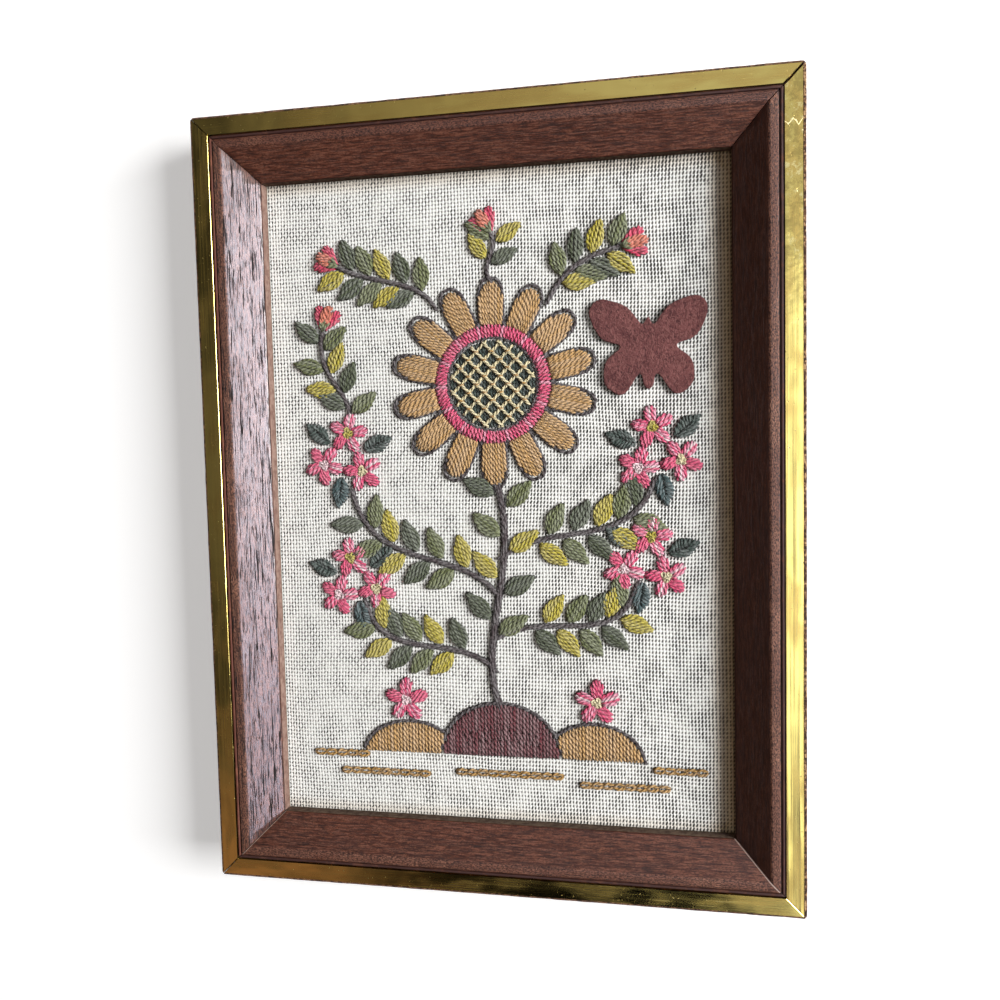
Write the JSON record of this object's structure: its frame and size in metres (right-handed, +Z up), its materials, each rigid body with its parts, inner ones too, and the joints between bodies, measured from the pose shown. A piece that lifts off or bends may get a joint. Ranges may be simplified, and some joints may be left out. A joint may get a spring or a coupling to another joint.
{
  "type": "framed needlework, with its frame",
  "caption": "Small crewel embroidery on linen, with a felt figure, stretched in a deep mitred wood frame with brass edge strips.",
  "frame": {"origin": "on the back of the top rail, at its middle, where the wall holds the frame", "axes": "+Z up, +X to the viewer's right, the face looks along -Y and the back lies at Y = 0"},
  "size_m": [0.1622, 0.02, 0.2132],
  "materials": {
    "wood": "dark open-pored hardwood, thin satin lacquer, worn arrises",
    "brass": "thin polished brass strip, tarnished and scratched",
    "linen": "off-white plain-weave linen, open weave",
    "wool": "two-ply crewel wool in olive, mustard, tan, cream, pinks, maroon and dark brown",
    "felt": "plum-brown wool felt, matt and slightly hairy",
    "board": "plain grey-brown hardboard"
  },
  "bodies": {
    "root": {"linen": "linen", "felt_butterfly": "felt", "backing_board": "board", "rail_top": "wood", "rail_bottom": "wood", "rail_left": "wood", "rail_right": "wood", "brass_top": "brass", "brass_bottom": "brass", "brass_left": "brass", "brass_right": "brass"}
  },
  "joints": []
}
